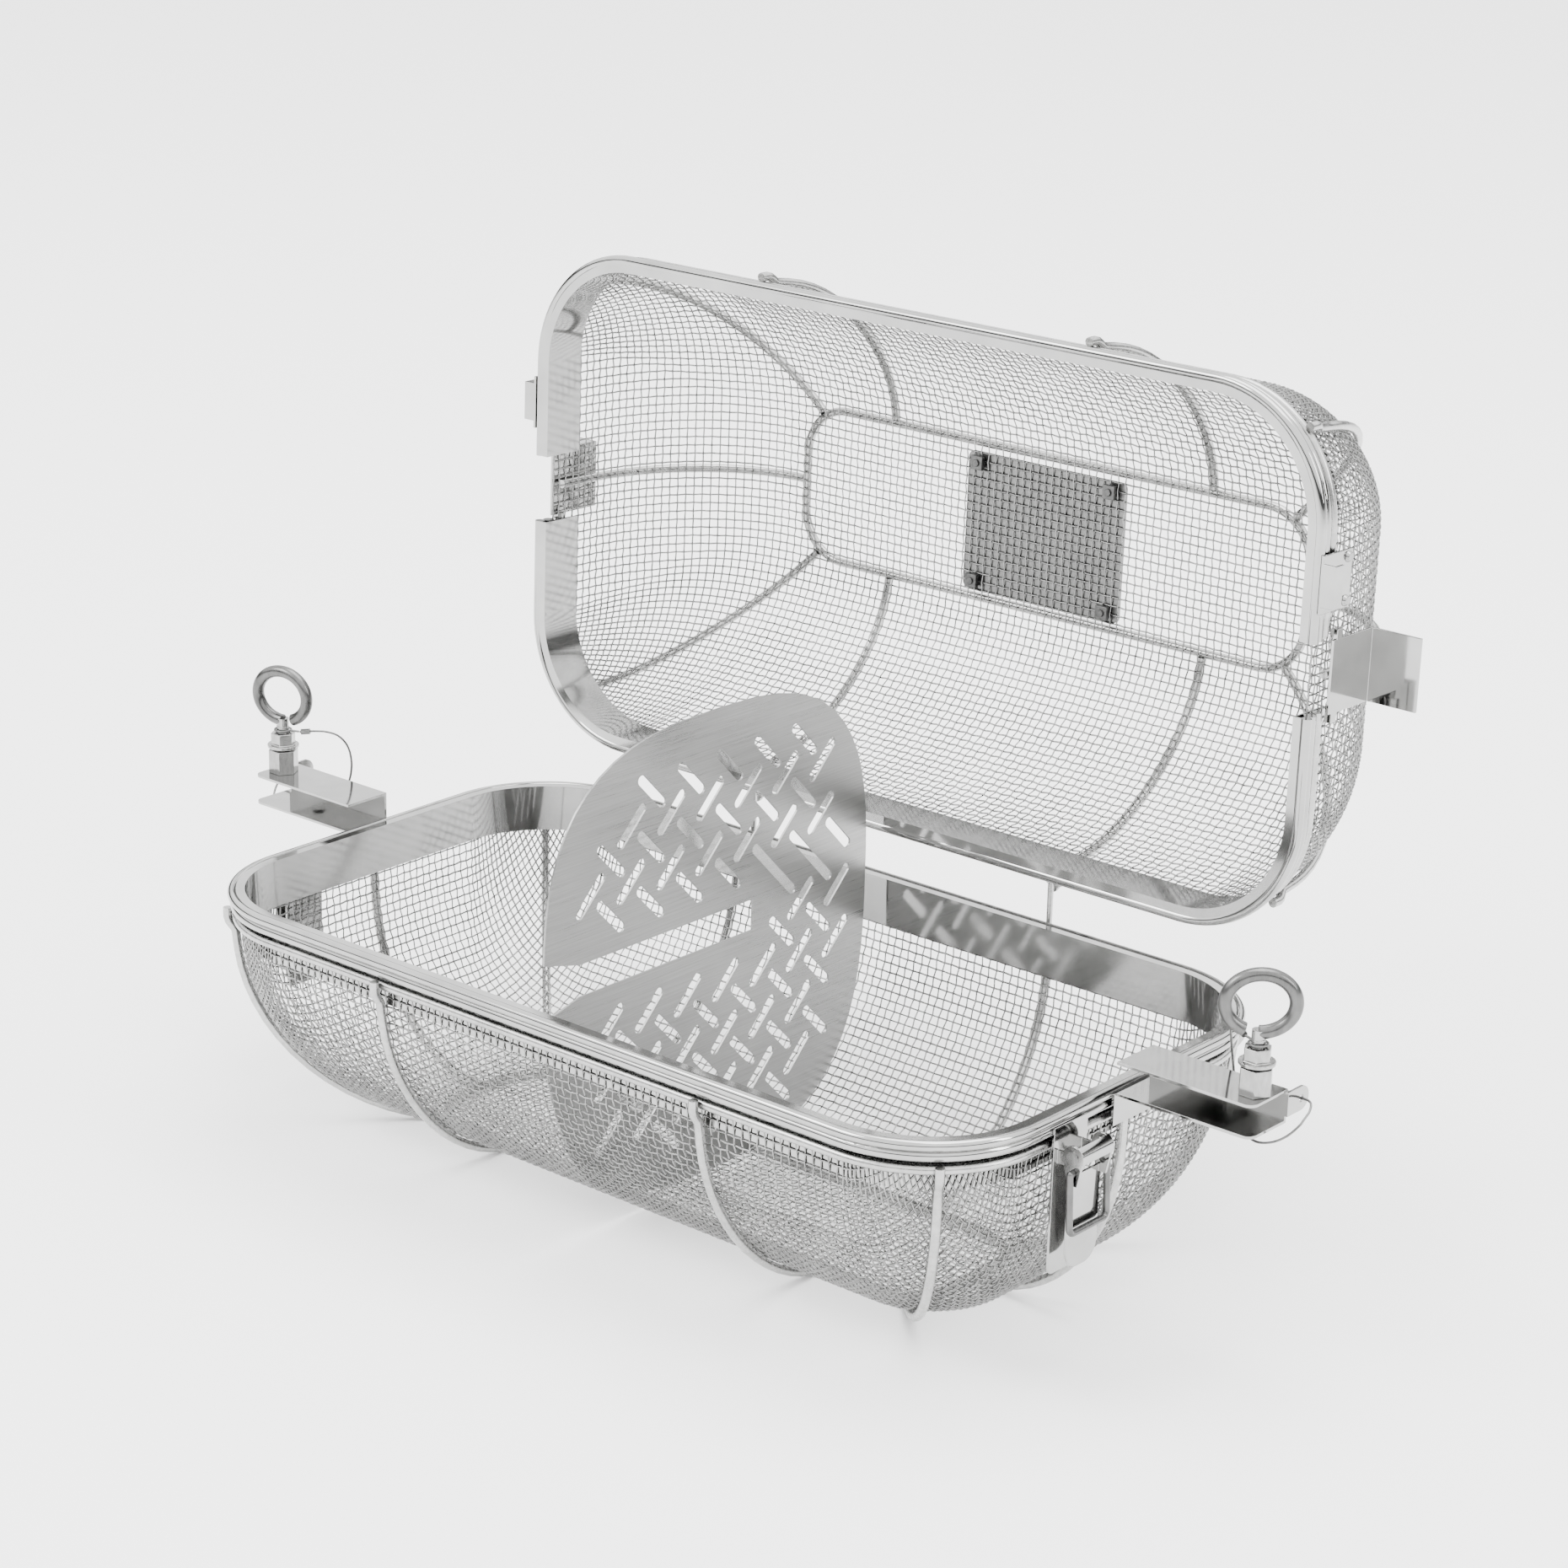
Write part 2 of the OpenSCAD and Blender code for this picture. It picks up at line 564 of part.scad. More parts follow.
// The base plate, with two ears that carry the lever's pin
module latch_base() {
    x0 = half_len - bead2_u + bead2_d/2;
    in_lower() difference() {
        union() {
            tongue(latch_w, bead_d + 0.2, base_v, x0, latch_t, 3);
            for (s = [-1, 1]) translate([x0, latch_y + s*(ear_half - latch_t/2) - latch_t/2, 0])
                rotate([90, 0, 0]) mirror([0, 0, 1]) linear_extrude(latch_t) union() {
                    translate([0, -pivot_v - 5]) square([pivot_x - x0, 5.5]);
                    translate([pivot_x - x0, -pivot_v]) circle(r = 3.4);
                }
        }
        translate([pivot_x, latch_y, -pivot_v]) rotate([90, 0, 0])
            cylinder(d = pivot_d + 2*pin_clear, h = 2*latch_w, center = true);
    }
}
module latch_base_right() { color("gainsboro") latch_base(); }
module latch_base_left() { color("gainsboro") mirror([1, 0, 0]) latch_base(); }

module latch_pin() {
    head = 0.35;
    in_lower() translate([pivot_x, latch_y, -pivot_v]) rotate([90, 0, 0]) {
        cylinder(d = pivot_d, h = 2*lever_half + 0.2, center = true);
        for (s = [-1, 1]) translate([0, 0, s*(lever_half + pin_clear + head/2)])
            cylinder(d = pivot_d + 2.4, h = head, center = true);
    }
}
module latch_pins() { color("silver") both_ends() latch_pin(); }

// The lever: a flat face below, two sides on the pin, and a rolled top between them
face_x = pivot_x - 0.8;                         // outside of the lever's face
bail_x = face_x + bail_d/2;
roll_r = 5.2;
module latch_lever() {
    w = 2*lever_half;
    face_v = bail_v + bail_d/2 + pin_clear + 1;
    side_r = roll_r - 0.4;
    in_lower() difference() {
        union() {
            tongue(w, face_v, lever_v, face_x - latch_t, latch_t, 8);
            for (s = [-1, 1]) translate([pivot_x, latch_y + s*(lever_half - latch_t/2) - latch_t/2,
                -pivot_v]) rotate([90, 0, 0]) mirror([0, 0, 1]) linear_extrude(latch_t) hull() {
                    circle(r = side_r);
                    translate([-2, pivot_v - face_v - 3]) square([4.4, 3]);
                }
            translate([pivot_x, latch_y + lever_half, -pivot_v]) rotate([90, 0, 0])
                linear_extrude(w) intersection() {
                    difference() { circle(r = roll_r); circle(r = roll_r - latch_t); }
                    polygon([for (a = [-20:5:65]) 2*roll_r*[cos(a), sin(a)], [0, 0]]);
                }
        }
        for (p = [[pivot_x, pivot_v, pivot_d], [bail_x, bail_v, bail_d]])
            translate([p[0], latch_y, -p[1]]) rotate([90, 0, 0])
                cylinder(d = p[2] + 2*pin_clear, h = 2*latch_w, center = true);
    }
}
module latch_lever_right() { color("gainsboro") latch_lever(); }
module latch_lever_left() { color("gainsboro") mirror([1, 0, 0]) latch_lever(); }

// The bail: two ends turned into the lever's sides, two legs and a cross bar
module latch_bail() {
    bend = bail_d;
    leg_y = lever_half + 2*sheet_clear + bail_d/2;
    in_end = lever_half - latch_t;
    in_lower() translate([bail_x, latch_y, -bail_v]) rotate([0, -bail_tilt, 0])
        for (s = [-1, 1]) scale_y(s) {
            translate([0, in_end, 0]) rotate([-90, 0, 0]) cylinder(d = bail_d, h = leg_y - in_end);
            translate([0, leg_y, 0]) sphere(d = bail_d);
            translate([0, leg_y, -bail_len + bend]) cylinder(d = bail_d, h = bail_len - bend);
            translate([0, leg_y - bend, -bail_len + bend]) rotate([0, 90, 0]) elbow(bend, bail_d);
            translate([0, 0, -bail_len]) rotate([-90, 0, 0]) cylinder(d = bail_d, h = leg_y - bend);
        }
}
module latch_bail_right() { color("silver") latch_bail(); }
module latch_bail_left() { color("silver") mirror([1, 0, 0]) latch_bail(); }

// ---------- lid fittings ----------
module lid_bracket() {
    in_lid() {
        translate([half_len, -notch_w/2, -bracket_v1]) cube([bracket_t, notch_w, bracket_v1 - bracket_v0]);
        translate([half_len, -notch_w/2, -bracket_v1]) cube([shelf_len, notch_w, bracket_t]);
        for (s = [-1, 1]) scale_y(s)
            translate([half_len - wire_u + wire_d/2, notch_w/2 - 4, -rim_wire_v - wire_d/2 - 4])
                cube([wire_u - wire_d/2 + bracket_t, 8, 4]);
    }
}
module lid_bracket_right() { color("gainsboro") lid_bracket(); }
module lid_bracket_left() { color("gainsboro") mirror([1, 0, 0]) lid_bracket(); }

rivet_v = 18;
module catch_plate() {
    lip = 0.3;
    hook_w = lever_w - 2;                       // passes between the bail's legs
    in_lid() difference() {
        translate([half_len, latch_y, 0]) union() {
            translate([0, -catch_w/2, -21]) cube([latch_t, catch_w, 21 - lip]);
            translate([0, -hook_w/2, -lip - latch_t]) cube([catch_reach, hook_w, latch_t]);
            translate([catch_reach - latch_t, -hook_w/2, -lip - 6]) cube([latch_t, hook_w, 6]);
        }
        for (s = [-1, 1]) translate([half_len - 1, latch_y + 9*s, -rivet_v]) rotate([0, 90, 0])
            cylinder(d = 2.6, h = 4);
    }
}
module catch_right() { color("gainsboro") catch_plate(); }
module catch_left() { color("gainsboro") mirror([1, 0, 0]) catch_plate(); }

module catch_rivet_pair() {
    x0 = half_len - end_inset(rivet_v);
    in_lid() for (s = [-1, 1]) translate([x0, latch_y + 9*s, -rivet_v]) rotate([0, 90, 0]) {
        cylinder(d = 2.5, h = half_len - x0 + latch_t);
        translate([0, 0, half_len - x0 + latch_t]) cylinder(d1 = 5, d2 = 3.4, h = 1.4);
    }
}
module catch_rivets() { color("silver") both_ends() catch_rivet_pair(); }

fastener_x = plate_len/2 - 7;
fastener_y = plate_w/2 - 2.5 - 2;
module lid_plate() {
    color("silver") in_lid() translate([0, 0, -shell_depth - plate_t]) difference() {
        union() {
            translate([-plate_len/2 + 3, -plate_w/2, 0]) cube([plate_len - 6, plate_w, plate_t]);
            translate([-plate_len/2, -plate_w/2 + 3, 0]) cube([plate_len, plate_w - 6, plate_t]);
            for (s = [-1, 1], q = [-1, 1])
                translate([s*(plate_len/2 - 3), q*(plate_w/2 - 3), 0]) cylinder(r = 3, h = plate_t);
        }
        for (s = [-1, 1], q = [-1, 1]) translate([s*fastener_x, q*fastener_y, -1])
            cylinder(d = 3.4, h = plate_t + 2);
    }
}
module plate_fasteners() {
    color("gray") in_lid() for (s = [-1, 1], q = [-1, 1])
        translate([s*fastener_x, q*fastener_y, -shell_depth]) mirror([0, 0, 1]) {
            cylinder(d = 3.3, h = plate_t);
            translate([0, 0, plate_t]) cylinder(d1 = 7, d2 = 4.4, h = 1.8);
        }
}

// ---------- divider ----------
divider_power = 2.9;
divider_down = shell_depth + spit_rise - mesh_t - divider_gap;
// Half width of the divider at height z above the spit axis, in front of it or behind it
function divider_edge(z, w) =
    w*pow(1 - pow(abs(z)/(z > 0 ? divider_up : divider_down), divider_power), 1/divider_power);
// The front edge stands a little further out at the spit's height
function front_edge(z) = z > 0 ? divider_edge(z, divider_front) :
    divider_edge(z, divider_half) + (divider_front - divider_half)*max(0, 1 + z/60);
// Heights round one side of the outline, from the bottom to the top
function edge_z(w) = sin(w)*(w > 0 ? divider_up : divider_down);
divider_angles = [-90:6:90];
module divider_outline() {
    polygon(concat([for (w = divider_angles) let (z = edge_z(w)) [divider_edge(z, divider_half), z]],
        [for (w = divider_angles) let (z = edge_z(-w)) [-front_edge(z), z]]));
}
function vent_fits(y, z) = abs(z) > divider_slot/2 + 10 || y > slot_reach + 14 ?
    pow(abs(y)/divider_half, 2.9) + pow(abs(z)/(z > 0 ? divider_up : divider_down), 2.9) < 0.6 : false;
module vent(y, z, turn) {
    translate([y, z]) rotate(turn) {
        square([vent_len - vent_w, vent_w], center = true);
        for (s = [-1, 1]) translate([s*(vent_len - vent_w)/2, 0]) circle(d = vent_w, $fn = 24);
    }
}
module divider() {
    mouth = 12.5;
    lip = 21;
    color("darkgray") translate([divider_x - divider_t/2, 0, 0]) rotate([90, 0, 90])
        linear_extrude(divider_t) difference() {
            divider_outline();
            translate([-divider_front - 1, -divider_slot/2])
                square([divider_front + 1 + slot_reach, divider_slot]);
            polygon([[-divider_front + lip, divider_slot/2], [-divider_front - 1, mouth],
                [-divider_front - 1, -mouth], [-divider_front + lip, -divider_slot/2]]);
            for (i = [-5:5], j = [-5:5]) {
                y = 8 + vent_pitch*i;
                z = 23 + vent_pitch*j;
                if (vent_fits(y, z)) vent(y, z, z > 0 ? -45 : 45);
                if (vent_fits(y + vent_pitch/2, z + vent_pitch/2))
                    vent(y + vent_pitch/2, z + vent_pitch/2, z > 0 ? 45 : -45);
            }
        }
}

// ---------- sub-parts of the two halves ----------
module rim_gaps() {
    difference() {
        children();
        for (s = [-1, 1]) translate([s*half_len, 0, -band_h/2]) cube([40, notch_w, band_h + 4], center = true);
    }
}
module lower_mesh() { color("lightgray") in_lower() half_shell(); }
module lower_rim() { color("gainsboro") in_lower() half_rim(); }
module lower_rim_wire() { color("silver") in_lower() half_rim_wire(); }
module lower_base_ring() { color("silver") in_lower() half_base_ring(); }
module lower_side_ribs() { color("silver") in_lower() half_side_ribs(); }
module lower_corner_ribs() { color("silver") in_lower() half_corner_ribs(); }
module lower_end_ribs() { color("silver") in_lower() half_end_ribs(); }
module lid_mesh() { color("lightgray") in_lid() half_shell(); }
module lid_rim() { color("gainsboro") in_lid() rim_gaps() half_rim(); }
module lid_rim_wire() { color("silver") in_lid() rim_gaps() half_rim_wire(); }
module lid_base_ring() { color("silver") in_lid() half_base_ring(); }
module lid_side_ribs() { color("silver") in_lid() half_side_ribs(); }
module lid_corner_ribs() { color("silver") in_lid() half_corner_ribs(); }
module lid_end_ribs() { color("silver") in_lid() half_end_ribs(); }

lower_mesh();
lower_rim();
lower_rim_wire();
lower_base_ring();
lower_side_ribs();
lower_corner_ribs();
lower_end_ribs();
spit_clamp_right();
spit_clamp_left();
weld_nut_right();
weld_nut_left();
lanyard_right();
lanyard_left();
lanyard_sleeves();
hinge_posts();
latch_base_right();
latch_base_left();
latch_pins();
lid_mesh();
lid_rim();
lid_rim_wire();
lid_base_ring();
lid_side_ribs();
lid_corner_ribs();
lid_end_ribs();
lid_bracket_right();
lid_bracket_left();
catch_right();
catch_left();
catch_rivets();
lid_plate();
plate_fasteners();
hinge_bars();
lock_nut_right();
lock_nut_left();
lanyard_loop_right();
lanyard_loop_left();
eye_screw_right();
eye_screw_left();
divider();
latch_lever_right();
latch_lever_left();
latch_bail_right();
latch_bail_left();
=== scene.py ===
"""Rotisserie basket: the finished look of two woven wire half shells, their rims and fittings."""
import json
import math

import bmesh
import bpy
import numpy as np
from mathutils import Matrix, Vector


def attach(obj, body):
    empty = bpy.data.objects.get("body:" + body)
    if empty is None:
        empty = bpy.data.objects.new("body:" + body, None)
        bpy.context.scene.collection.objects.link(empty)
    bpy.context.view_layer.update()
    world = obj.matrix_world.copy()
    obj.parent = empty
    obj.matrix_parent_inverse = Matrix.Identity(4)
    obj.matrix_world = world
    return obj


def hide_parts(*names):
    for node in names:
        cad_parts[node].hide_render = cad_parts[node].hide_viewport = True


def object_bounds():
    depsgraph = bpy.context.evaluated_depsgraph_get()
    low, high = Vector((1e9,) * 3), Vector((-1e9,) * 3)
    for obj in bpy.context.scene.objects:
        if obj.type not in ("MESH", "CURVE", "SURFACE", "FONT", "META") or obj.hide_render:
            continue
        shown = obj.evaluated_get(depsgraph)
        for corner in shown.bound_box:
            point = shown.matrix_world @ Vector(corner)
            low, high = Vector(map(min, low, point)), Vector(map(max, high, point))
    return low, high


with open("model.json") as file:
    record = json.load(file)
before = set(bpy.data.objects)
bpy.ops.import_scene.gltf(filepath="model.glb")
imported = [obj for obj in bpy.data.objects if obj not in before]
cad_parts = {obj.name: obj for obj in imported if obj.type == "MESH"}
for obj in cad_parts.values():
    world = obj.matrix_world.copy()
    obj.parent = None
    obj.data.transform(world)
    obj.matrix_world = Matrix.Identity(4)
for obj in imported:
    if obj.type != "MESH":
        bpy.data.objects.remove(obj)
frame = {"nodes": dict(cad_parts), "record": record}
CAD_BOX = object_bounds()
MM = 0.001

# ---------- sizes, in millimetres, as in the design ----------
HALF_LEN, HALF_W = 213.5, 115.5       # half the rim's length and width
SHELL_DEPTH, BAND_H = 107.0, 22.0
FLAT_LEN, FLAT_W, FLAT_R = 280.0, 72.0, 22.7
SHELL_INSET = 6.0                      # the shell's outer face from the rim's outline
SHELL_R = 50.0                         # the shell's corner radius under the rim
SIDE_POWER, END_POWER = 1.7, 2.1       # fullness of the long walls and of the end walls
SPIT_RISE = 4.0
HINGE_Y, HINGE_RISE, CLOSED_GAP, OPEN_ANGLE = 120.55, 15.85, 0.5, 91.0
SCREW_X = 269.0

MESH_PITCH = 4.0                       # spacing of the woven wires
MESH_WIRE = 0.8                        # their diameter
MESH_TOP = 6.4                         # the wires end under the rim's second bead

# The right lanyard's route, from the screw's neck to the tab, measured from the screw's axis
LANYARD = [(-8, 3, 27.2), (-12, 5.5, 27.8), (-17, 9.5, 28), (-21.5, 14, 26), (-24, 17.5, 21),
           (-24.5, 19.5, 14), (-23.5, 20, 6), (-21, 18.5, -2), (-17, 15, -8.5),
           (-11.5, 10, -12.5), (-5, 5, -14), (2, 2, -13.5), (8, 2, -11.5), (12.5, 5, -8.5),
           (15, 10, -4.5), (15, 15, -1.5), (13.5, 18.5, 0.5), (11, 20, 1), (7.8, 20, 1),
           (5, 20, 1), (2, 20, 1)]
LANYARD_D, LANYARD_STEPS = 1.0, 4


# ---------- shader node groups ----------
def group_sockets(tree, inputs, outputs):
    """Inputs as (name, kind, value) and outputs as (name, kind)."""
    for name, kind, value in inputs:
        socket = tree.interface.new_socket(name=name, in_out="INPUT", socket_type=kind)
        socket.default_value = value
    for name, kind in outputs:
        tree.interface.new_socket(name=name, in_out="OUTPUT", socket_type=kind)


def steel_grain_group():
    """Drawn or rolled lines along one direction, broken by slow cloudy change."""
    tree = bpy.data.node_groups.new("steel_grain", "ShaderNodeTree")
    group_sockets(tree, [("Stretch", "NodeSocketVector", (60, 900, 900)),
                         ("Lines", "NodeSocketFloat", 1.0),
                         ("Cloud Size", "NodeSocketFloat", 30.0),
                         ("Dark", "NodeSocketColor", (0.4, 0.4, 0.4, 1)),
                         ("Light", "NodeSocketColor", (0.7, 0.7, 0.7, 1)),
                         ("Smooth", "NodeSocketFloat", 0.1),
                         ("Rough", "NodeSocketFloat", 0.3)],
                  [("Color", "NodeSocketColor"), ("Roughness", "NodeSocketFloat"),
                   ("Height", "NodeSocketFloat")])
    nodes, links = tree.nodes, tree.links
    inp, out = nodes.new("NodeGroupInput"), nodes.new("NodeGroupOutput")
    coord = nodes.new("ShaderNodeTexCoord")
    scale = nodes.new("ShaderNodeVectorMath"); scale.operation = "MULTIPLY"
    lines = nodes.new("ShaderNodeTexNoise")
    lines.inputs["Scale"].default_value = 1.0
    lines.inputs["Detail"].default_value = 3.0
    cloud = nodes.new("ShaderNodeTexNoise")
    cloud.inputs["Detail"].default_value = 4.0
    mixed = nodes.new("ShaderNodeMix"); mixed.data_type = "FLOAT"
    mixed.inputs["Factor"].default_value = 0.45
    tone = nodes.new("ShaderNodeMapRange")
    tone.inputs["From Min"].default_value, tone.inputs["From Max"].default_value = 0.32, 0.68
    colour = nodes.new("ShaderNodeMix"); colour.data_type = "RGBA"
    rough = nodes.new("ShaderNodeMapRange")
    height = nodes.new("ShaderNodeMath"); height.operation = "MULTIPLY"
    links.new(coord.outputs["Object"], scale.inputs[0])
    links.new(inp.outputs["Stretch"], scale.inputs[1])
    links.new(scale.outputs["Vector"], lines.inputs["Vector"])
    links.new(coord.outputs["Object"], cloud.inputs["Vector"])
    links.new(inp.outputs["Cloud Size"], cloud.inputs["Scale"])
    links.new(lines.outputs["Fac"], mixed.inputs["A"])
    links.new(cloud.outputs["Fac"], mixed.inputs["B"])
    links.new(mixed.outputs["Result"], tone.inputs["Value"])
    links.new(tone.outputs["Result"], colour.inputs["Factor"])
    links.new(inp.outputs["Dark"], colour.inputs["A"])
    links.new(inp.outputs["Light"], colour.inputs["B"])
    links.new(tone.outputs["Result"], rough.inputs["Value"])
    links.new(inp.outputs["Smooth"], rough.inputs["To Min"])
    links.new(inp.outputs["Rough"], rough.inputs["To Max"])
    links.new(lines.outputs["Fac"], height.inputs[0])
    links.new(inp.outputs["Lines"], height.inputs[1])
    links.new(colour.outputs["Result"], out.inputs["Color"])
    links.new(rough.outputs["Result"], out.inputs["Roughness"])
    links.new(height.outputs["Value"], out.inputs["Height"])
    return tree


STEEL_GRAIN = steel_grain_group()


def steel(name, dark, light, smooth, rough, stretch=(300, 300, 300), lines=1.0, cloud=25.0,
          bump=0.00002):
    """Stainless steel whose colour, gloss and relief follow its grain."""
    material = bpy.data.materials.new(name)
    material.use_nodes = True
    nodes, links = material.node_tree.nodes, material.node_tree.links
    shader = nodes["Principled BSDF"]
    shader.inputs["Metallic"].default_value = 1.0
    grain = nodes.new("ShaderNodeGroup"); grain.node_tree = STEEL_GRAIN
    grain.inputs["Stretch"].default_value = stretch
    grain.inputs["Lines"].default_value = lines
    grain.inputs["Cloud Size"].default_value = cloud
    grain.inputs["Dark"].default_value = (dark, dark, dark * 0.985, 1)
    grain.inputs["Light"].default_value = (light, light, light * 0.985, 1)
    grain.inputs["Smooth"].default_value = smooth
    grain.inputs["Rough"].default_value = rough
    relief = nodes.new("ShaderNodeBump")
    relief.inputs["Strength"].default_value = 0.35
    relief.inputs["Distance"].default_value = bump
    links.new(grain.outputs["Color"], shader.inputs["Base Color"])
    links.new(grain.outputs["Roughness"], shader.inputs["Roughness"])
    links.new(grain.outputs["Height"], relief.inputs["Height"])
    links.new(relief.outputs["Normal"], shader.inputs["Normal"])
    return material


MATERIALS = {
    "woven_wire": steel("woven_wire_steel", 0.15, 0.34, 0.18, 0.32, (500, 500, 500), 0.5, 60),
    "polished_sheet": steel("polished_sheet_steel", 0.3, 0.4, 0.05, 0.12, (60, 60, 60), 0.1, 18),
    "welded_wire": steel("welded_wire_steel", 0.32, 0.48, 0.2, 0.34, (400, 400, 400), 0.6, 40),
    "brushed_sheet": steel("brushed_sheet_steel", 0.22, 0.33, 0.24, 0.38, (900, 25, 1500), 0.5, 12),
    "satin_plate": steel("satin_plate_steel", 0.15, 0.22, 0.3, 0.42, (40, 1200, 1200), 0.5, 15),
    "polished_rod": steel("polished_rod_steel", 0.08, 0.15, 0.22, 0.34, (300, 300, 120), 0.4, 40),
    "hardware": steel("hardware_steel", 0.22, 0.38, 0.1, 0.22, (500, 500, 200), 0.5, 60),
    "lanyard_wire": steel("lanyard_wire_steel", 0.1, 0.2, 0.24, 0.4, (900, 900, 900), 1.0, 90),
}
DARK_FASTENER = steel("dark_fastener_steel", 0.06, 0.16, 0.3, 0.5, (600, 600, 600), 1.0, 80)
SLOT_OF = {part["node"]: part["material_slot"] for part in frame["record"]["subparts"]}
BODY_OF = {node: body for body, nodes in frame["record"]["behaviour"]["bodies"].items()
           for node in nodes}


# ---------- making pieces ----------
SHEET_EDGE, HEX_EDGE, DIVIDER_EDGE, NUT_EDGE = 0.00022, 0.0004, 0.00015, 0.0003  # metres
MERGE_GAP = 2e-6                       # metres, for corners that belong together
FLAT_ANGLE, CREASE_ANGLE = 0.6, 38.0   # degrees, for merged flats and for sharp edges


def settle(obj, nodes, body, slot):
    """The piece takes its steel, rides on its body and stands for its CAD nodes."""
    obj.data.materials.clear()
    obj.data.materials.append(DARK_FASTENER if "plate_fasteners" in nodes else MATERIALS[slot])
    if nodes:
        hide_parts(*nodes)
    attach(obj, body)
    return obj


def linked(name, mesh):
    obj = bpy.data.objects.new(name, mesh)
    bpy.context.scene.collection.objects.link(obj)
    return obj


def baked(obj, name):
    """A plain mesh of the object's evaluated shape, in place of the object."""
    bpy.context.view_layer.update()
    graph = bpy.context.evaluated_depsgraph_get()
    mesh = bpy.data.meshes.new_from_object(obj.evaluated_get(graph))
    bpy.data.objects.remove(obj)
    return linked(name, mesh)


def finished(node, bevel=0.0):
    """A merged copy of a CAD node with soft shading and, on sheet, a fine edge radius."""
    work = bmesh.new()
    work.from_mesh(frame["nodes"][node].data)
    bmesh.ops.remove_doubles(work, verts=work.verts, dist=MERGE_GAP)
    bmesh.ops.dissolve_limit(work, angle_limit=math.radians(FLAT_ANGLE), verts=work.verts,
                             edges=work.edges)
    limit = math.radians(CREASE_ANGLE)
    for face in work.faces:
        face.smooth = True
    for edge in work.edges:
        edge.smooth = len(edge.link_faces) == 2 and edge.calc_face_angle(0.0) < limit
    mesh = bpy.data.meshes.new(node + "_part")
    work.to_mesh(mesh)
    work.free()
    piece = linked(node + "_part", mesh)
    if bevel:
        edge_round = piece.modifiers.new("edge_round", "BEVEL")
        edge_round.width = bevel
        edge_round.segments = 2
        edge_round.limit_method = "ANGLE"
        edge_round.angle_limit = limit
        edge_round.harden_normals = True
        edge_round.use_clamp_overlap = True
        piece = baked(piece, node + "_part")
    return settle(piece, [node], BODY_OF[node], SLOT_OF[node])


# ---------- round wire along lines ----------
def round_wire_tree():
    """Turns every line of a mesh into round wire of a given radius."""
    tree = bpy.data.node_groups.new("round_wire", "GeometryNodeTree")
    tree.interface.new_socket(name="Lines", in_out="INPUT", socket_type="NodeSocketGeometry")
    tree.interface.new_socket(name="Steel", in_out="INPUT", socket_type="NodeSocketMaterial")
    group_sockets(tree, [("Radius", "NodeSocketFloat", 0.0004), ("Sides", "NodeSocketInt", 4)],
                  [("Wire", "NodeSocketGeometry")])
    nodes, links = tree.nodes, tree.links
    inp, out = nodes.new("NodeGroupInput"), nodes.new("NodeGroupOutput")
    curve = nodes.new("GeometryNodeMeshToCurve")
    circle = nodes.new("GeometryNodeCurvePrimitiveCircle")
    tube = nodes.new("GeometryNodeCurveToMesh")
    tube.inputs["Fill Caps"].default_value = True
    smooth = nodes.new("GeometryNodeSetShadeSmooth")
    real = nodes.new("GeometryNodeRealizeInstances")
    steel_on = nodes.new("GeometryNodeSetMaterial")
    links.new(inp.outputs["Lines"], curve.inputs["Mesh"])
    links.new(inp.outputs["Radius"], circle.inputs["Radius"])
    links.new(inp.outputs["Sides"], circle.inputs["Resolution"])
    links.new(curve.outputs["Curve"], tube.inputs["Curve"])
    links.new(circle.outputs["Curve"], tube.inputs["Profile Curve"])
    links.new(tube.outputs["Mesh"], smooth.inputs["Geometry"])
    links.new(smooth.outputs["Geometry"], real.inputs["Geometry"])
    links.new(real.outputs["Geometry"], steel_on.inputs["Geometry"])
    links.new(inp.outputs["Steel"], steel_on.inputs["Material"])
    links.new(steel_on.outputs["Geometry"], out.inputs["Wire"])
    return tree


ROUND_WIRE = round_wire_tree()


def wire_piece(name, lines, diameter, sides, slot, body, nodes=()):
    """One mesh of round wire along each of the lines, whose points are in millimetres."""
    points, edges = [], []
    for line in lines:
        first = len(points)
        points += [Vector(p) * MM for p in line]
        edges += [(i, i + 1) for i in range(first, len(points) - 1)]
    mesh = bpy.data.meshes.new(name)
    mesh.from_pydata(points, edges, [])
    piece = linked(name, mesh)
    modifier = piece.modifiers.new("round_wire", "NODES")
    modifier.node_group = ROUND_WIRE
    names = {item.name: item.identifier for item in ROUND_WIRE.interface.items_tree
             if item.in_out == "INPUT"}
    modifier[names["Radius"]] = diameter / 2 * MM
    modifier[names["Sides"]] = sides
    modifier[names["Steel"]] = MATERIALS[slot]
    return settle(baked(piece, name), list(nodes), body, slot)


# ---------- the woven shells ----------
WALL_LEVELS, BAND_LEVELS = 120, 40     # levels worked out on the wall and on the rim's band
LEVEL_HALVINGS = 40                    # steps in finding a crossing's level
CRIMP, CRIMP_MORE = 0.25, 0.15         # a wire's swing: at the rim, and more on the wall
MESH_IN, MESH_IN_MORE = 0.4, 0.4       # the weave's middle from the shell's outer face
EASE_DOWN = 8.0                        # depth under the band over which both grow


def fall(t, power):
    """A wall's way in, from 0 at the band to 1 at the flat."""
    return 1 - (1 - np.clip(t, 0, 1) ** power) ** (1 / power)


def side_inset(v):
    return SHELL_INSET + (HALF_W - FLAT_W / 2 - SHELL_INSET) * fall(
        (v - BAND_H) / (SHELL_DEPTH - BAND_H), SIDE_POWER)


def end_inset(v):
    return SHELL_INSET + (HALF_LEN - FLAT_LEN / 2 - SHELL_INSET) * fall(
        (v - BAND_H) / (SHELL_DEPTH - BAND_H), END_POWER)


